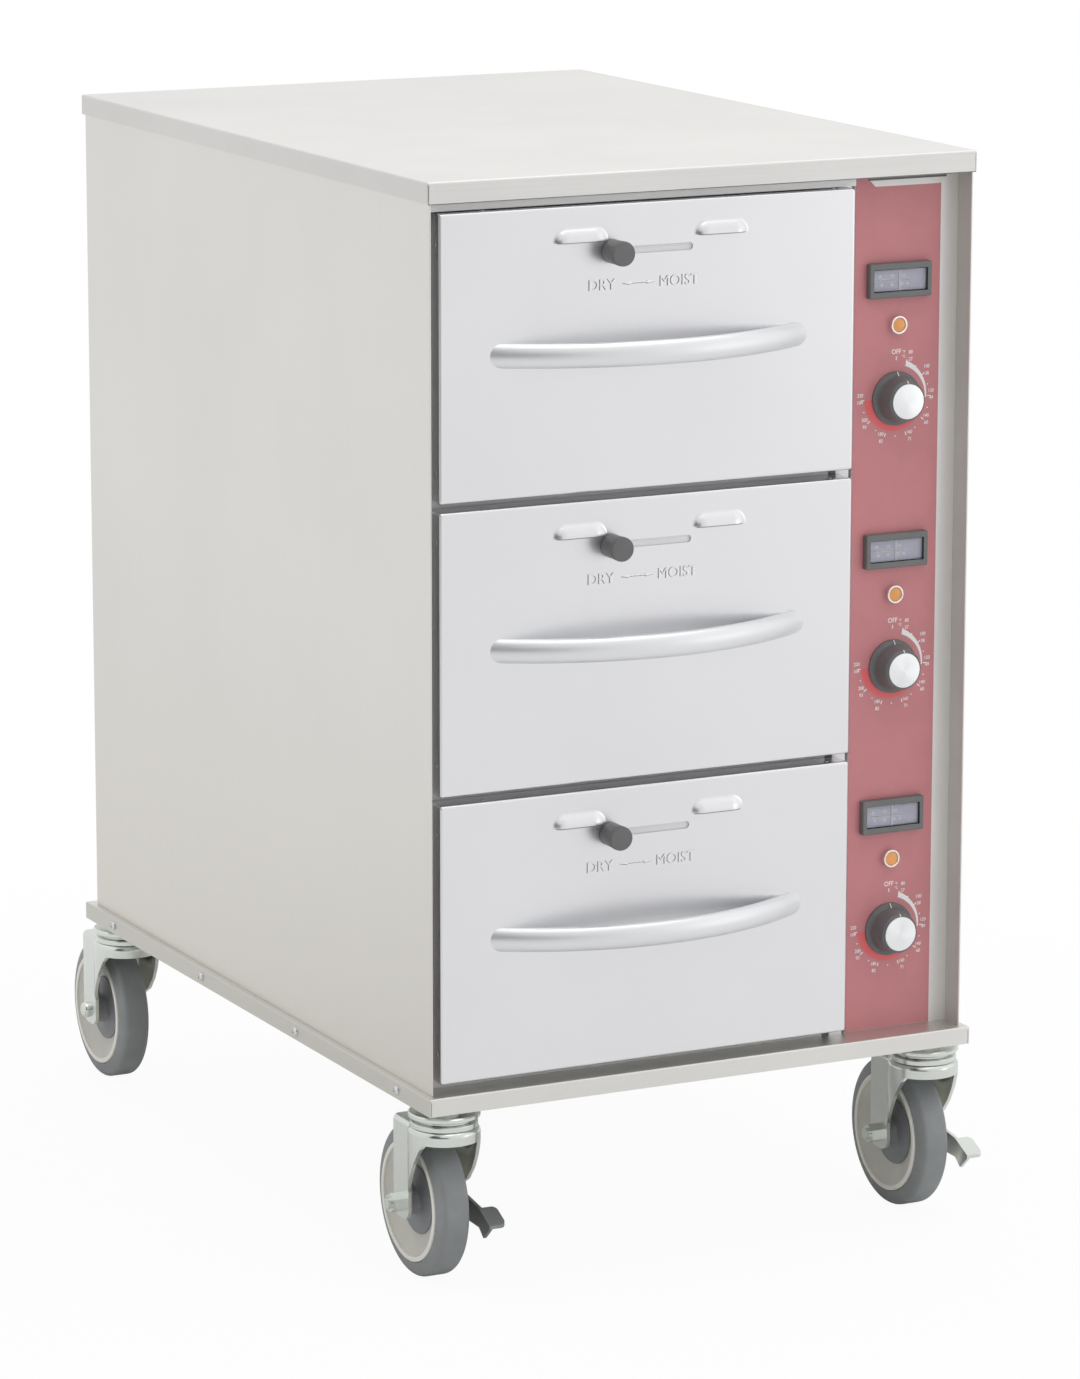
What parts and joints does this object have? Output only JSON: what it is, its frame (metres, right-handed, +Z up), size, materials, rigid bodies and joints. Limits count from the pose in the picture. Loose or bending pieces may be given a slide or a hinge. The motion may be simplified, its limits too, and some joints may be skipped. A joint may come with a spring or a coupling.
{
  "type": "warming drawer cabinet",
  "caption": "Mobile heated drawer cabinet in stainless steel, with bow handles, sliding vents, a red control column of thermostat knobs and gauges, and swivel casters.",
  "frame": {"origin": "on the floor under the middle of the whole part's box", "axes": "+Z up, -Y towards the user who faces the drawers, +X to that user's right"},
  "size_m": [0.5458, 0.876, 0.948],
  "materials": {
    "stainless_sheet": "satin stainless sheet",
    "inner_steel": "plain stainless sheet",
    "pan_steel": "polished stainless pan",
    "zinc_steel": "zinc plated steel",
    "screw_steel": "bright screws",
    "element_sheath": "dark heater sheath",
    "glass_wool": "glass wool blanket",
    "red_overlay": "red printed skin",
    "gauge_plastic": "moulded bezel",
    "clear_window": "clear window",
    "amber_lens": "amber lens in a bright ring",
    "satin_handle": "satin silver",
    "black_plastic": "black moulded plastic",
    "pointer_paint": "black painted needle",
    "grey_tyre": "grey rubber on a pale core"
  },
  "bodies": {
    "cabinet": {"top_cover": "stainless_sheet", "left_side_panel": "stainless_sheet", "right_side_panel": "stainless_sheet", "back_panel": "stainless_sheet", "base_tray": "stainless_sheet", "front_frame": "stainless_sheet", "control_panel": "stainless_sheet", "compartment_liners": "inner_steel", "slide_outer_members": "inner_steel", "caster_rails": "zinc_steel", "caster_stems": "zinc_steel", "cabinet_screws": "screw_steel", "insulation": "glass_wool", "heating_elements": "element_sheath", "cord_gland": "black_plastic", "control_overlay": "red_overlay", "thermometer_cases": "gauge_plastic", "thermometer_windows": "clear_window", "indicator_lights": "amber_lens", "thermostats": "inner_steel"},
    "drawer_1": {"drawer_front_1": "stainless_sheet", "drawer_handle_1": "satin_handle", "pan_carrier_1": "inner_steel", "food_pan_1": "pan_steel", "slide_inner_1": "zinc_steel"},
    "slide_1": {"slide_middle_1": "zinc_steel"},
    "vent_1": {"vent_shutter_1": "inner_steel", "vent_knob_1": "black_plastic"},
    "knob_1": {"thermostat_knob_1": "black_plastic"},
    "pointer_1": {"thermometer_pointer_1": "pointer_paint"},
    "drawer_2": {"drawer_front_2": "stainless_sheet", "drawer_handle_2": "satin_handle", "pan_carrier_2": "inner_steel", "food_pan_2": "pan_steel", "slide_inner_2": "zinc_steel"},
    "slide_2": {"slide_middle_2": "zinc_steel"},
    "vent_2": {"vent_shutter_2": "inner_steel", "vent_knob_2": "black_plastic"},
    "knob_2": {"thermostat_knob_2": "black_plastic"},
    "pointer_2": {"thermometer_pointer_2": "pointer_paint"},
    "drawer_3": {"drawer_front_3": "stainless_sheet", "drawer_handle_3": "satin_handle", "pan_carrier_3": "inner_steel", "food_pan_3": "pan_steel", "slide_inner_3": "zinc_steel"},
    "slide_3": {"slide_middle_3": "zinc_steel"},
    "vent_3": {"vent_shutter_3": "inner_steel", "vent_knob_3": "black_plastic"},
    "knob_3": {"thermostat_knob_3": "black_plastic"},
    "pointer_3": {"thermometer_pointer_3": "pointer_paint"},
    "caster_front_left": {"caster_fork_front_left": "zinc_steel"},
    "wheel_front_left": {"caster_wheel_front_left": "grey_tyre"},
    "pedal_front_left": {"brake_pedal_front_left": "zinc_steel"},
    "caster_front_right": {"caster_fork_front_right": "zinc_steel"},
    "wheel_front_right": {"caster_wheel_front_right": "grey_tyre"},
    "pedal_front_right": {"brake_pedal_front_right": "zinc_steel"},
    "caster_rear_left": {"caster_fork_rear_left": "zinc_steel"},
    "wheel_rear_left": {"caster_wheel_rear_left": "grey_tyre"},
    "caster_rear_right": {"caster_fork_rear_right": "zinc_steel"},
    "wheel_rear_right": {"caster_wheel_rear_right": "grey_tyre"}
  },
  "joints": [
    {"name": "drawer_1_pull", "type": "slide", "parent": "cabinet", "child": "drawer_1", "axis": [0, -1, 0], "range_m": [0, 0.5]},
    {"name": "slide_1_run", "type": "slide", "parent": "cabinet", "child": "slide_1", "axis": [0, -1, 0], "range_m": [0, 0.25]},
    {"name": "vent_1_shift", "type": "slide", "parent": "drawer_1", "child": "vent_1", "axis": [1, 0, 0], "range_m": [0, 0.0726]},
    {"name": "knob_1_turn", "type": "hinge", "parent": "cabinet", "child": "knob_1", "pos_m": [0.19385, -0.3695, 0.735], "axis": [0, 1, 0], "range_deg": [0, 270]},
    {"name": "pointer_1_swing", "type": "hinge", "parent": "cabinet", "child": "pointer_1", "pos_m": [0.19385, -0.3695, 0.827], "axis": [0, 1, 0], "range_deg": [-40, 40]},
    {"name": "drawer_2_pull", "type": "slide", "parent": "cabinet", "child": "drawer_2", "axis": [0, -1, 0], "range_m": [0, 0.5]},
    {"name": "slide_2_run", "type": "slide", "parent": "cabinet", "child": "slide_2", "axis": [0, -1, 0], "range_m": [0, 0.25]},
    {"name": "vent_2_shift", "type": "slide", "parent": "drawer_2", "child": "vent_2", "axis": [1, 0, 0], "range_m": [0, 0.0726]},
    {"name": "knob_2_turn", "type": "hinge", "parent": "cabinet", "child": "knob_2", "pos_m": [0.19385, -0.3695, 0.5], "axis": [0, 1, 0], "range_deg": [0, 270]},
    {"name": "pointer_2_swing", "type": "hinge", "parent": "cabinet", "child": "pointer_2", "pos_m": [0.19385, -0.3695, 0.592], "axis": [0, 1, 0], "range_deg": [-40, 40]},
    {"name": "drawer_3_pull", "type": "slide", "parent": "cabinet", "child": "drawer_3", "axis": [0, -1, 0], "range_m": [0, 0.5]},
    {"name": "slide_3_run", "type": "slide", "parent": "cabinet", "child": "slide_3", "axis": [0, -1, 0], "range_m": [0, 0.25]},
    {"name": "vent_3_shift", "type": "slide", "parent": "drawer_3", "child": "vent_3", "axis": [1, 0, 0], "range_m": [0, 0.0726]},
    {"name": "knob_3_turn", "type": "hinge", "parent": "cabinet", "child": "knob_3", "pos_m": [0.19385, -0.3695, 0.265], "axis": [0, 1, 0], "range_deg": [0, 270]},
    {"name": "pointer_3_swing", "type": "hinge", "parent": "cabinet", "child": "pointer_3", "pos_m": [0.19385, -0.3695, 0.357], "axis": [0, 1, 0], "range_deg": [-40, 40]},
    {"name": "caster_front_left_swivel", "type": "hinge", "parent": "cabinet", "child": "caster_front_left", "pos_m": [-0.23745, -0.368, 0.143], "axis": [0, 0, 1], "continuous": true},
    {"name": "wheel_front_left_roll", "type": "hinge", "parent": "caster_front_left", "child": "wheel_front_left", "pos_m": [-0.23745, -0.328, 0.0665], "axis": [1, 0, 0], "continuous": true},
    {"name": "pedal_front_left_press", "type": "hinge", "parent": "caster_front_left", "child": "pedal_front_left", "pos_m": [-0.23745, -0.328, 0.0665], "axis": [1, 0, 0], "range_deg": [0, 14]},
    {"name": "caster_front_right_swivel", "type": "hinge", "parent": "cabinet", "child": "caster_front_right", "pos_m": [0.23215, -0.368, 0.143], "axis": [0, 0, 1], "continuous": true},
    {"name": "wheel_front_right_roll", "type": "hinge", "parent": "caster_front_right", "child": "wheel_front_right", "pos_m": [0.23215, -0.328, 0.0665], "axis": [1, 0, 0], "continuous": true},
    {"name": "pedal_front_right_press", "type": "hinge", "parent": "caster_front_right", "child": "pedal_front_right", "pos_m": [0.23215, -0.328, 0.0665], "axis": [1, 0, 0], "range_deg": [0, 14]},
    {"name": "caster_rear_left_swivel", "type": "hinge", "parent": "cabinet", "child": "caster_rear_left", "pos_m": [-0.23745, 0.3315, 0.143], "axis": [0, 0, 1], "continuous": true},
    {"name": "wheel_rear_left_roll", "type": "hinge", "parent": "caster_rear_left", "child": "wheel_rear_left", "pos_m": [-0.23745, 0.3715, 0.0665], "axis": [1, 0, 0], "continuous": true},
    {"name": "caster_rear_right_swivel", "type": "hinge", "parent": "cabinet", "child": "caster_rear_right", "pos_m": [0.23215, 0.3315, 0.143], "axis": [0, 0, 1], "continuous": true},
    {"name": "wheel_rear_right_roll", "type": "hinge", "parent": "caster_rear_right", "child": "wheel_rear_right", "pos_m": [0.23215, 0.3715, 0.0665], "axis": [1, 0, 0], "continuous": true}
  ],
  "couplings": [
    {"joint": "slide_1_run", "follows": "drawer_1_pull", "ratio": 0.5},
    {"joint": "slide_2_run", "follows": "drawer_2_pull", "ratio": 0.5},
    {"joint": "slide_3_run", "follows": "drawer_3_pull", "ratio": 0.5}
  ]
}
